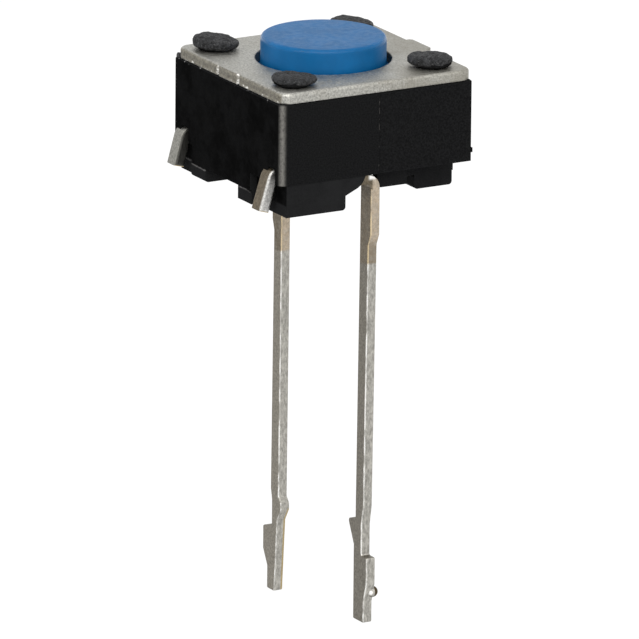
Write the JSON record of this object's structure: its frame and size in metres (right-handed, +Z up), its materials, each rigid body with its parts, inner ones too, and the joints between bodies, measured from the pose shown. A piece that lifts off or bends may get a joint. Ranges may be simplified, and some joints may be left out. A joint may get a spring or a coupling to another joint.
{
  "type": "tactile switch",
  "caption": "Square push-button tactile switch with a round button, a riveted metal cover, short side tabs and long flat leads.",
  "frame": {"origin": "middle of the body on the plane of its feet, where a board's surface would be", "axes": "+Z up through the button; +X along the wall that has the front lead's arch, away from the side with the short tabs; +Y from the front lead towards the back lead"},
  "size_m": [0.0065, 0.006, 0.0165],
  "materials": {
    "black_moulding": "dead black moulded nylon, slightly grained, staked heads rough and greyer",
    "cover_metal": "satin plated sheet, warm light grey, sheared edges",
    "blue_moulding": "satin moulded plastic, mid blue",
    "dome_steel": "bright spring steel",
    "plated_strip": "dull tin plating over brass strip, warm tarnish near the body, bare golden sheared edges"
  },
  "bodies": {
    "housing": {"base_housing": "black_moulding", "cover_plate": "cover_metal", "contact_dome": "dome_steel", "front_terminal": "plated_strip", "back_terminal": "plated_strip"},
    "button": {"plunger": "blue_moulding"}
  },
  "joints": [
    {"name": "button_press", "type": "slide", "parent": "housing", "child": "button", "axis": [0, 0, -1], "range_m": [0, 0.00025], "stiffness_N_per_m": 6400, "deforming": ["contact_dome"]}
  ]
}
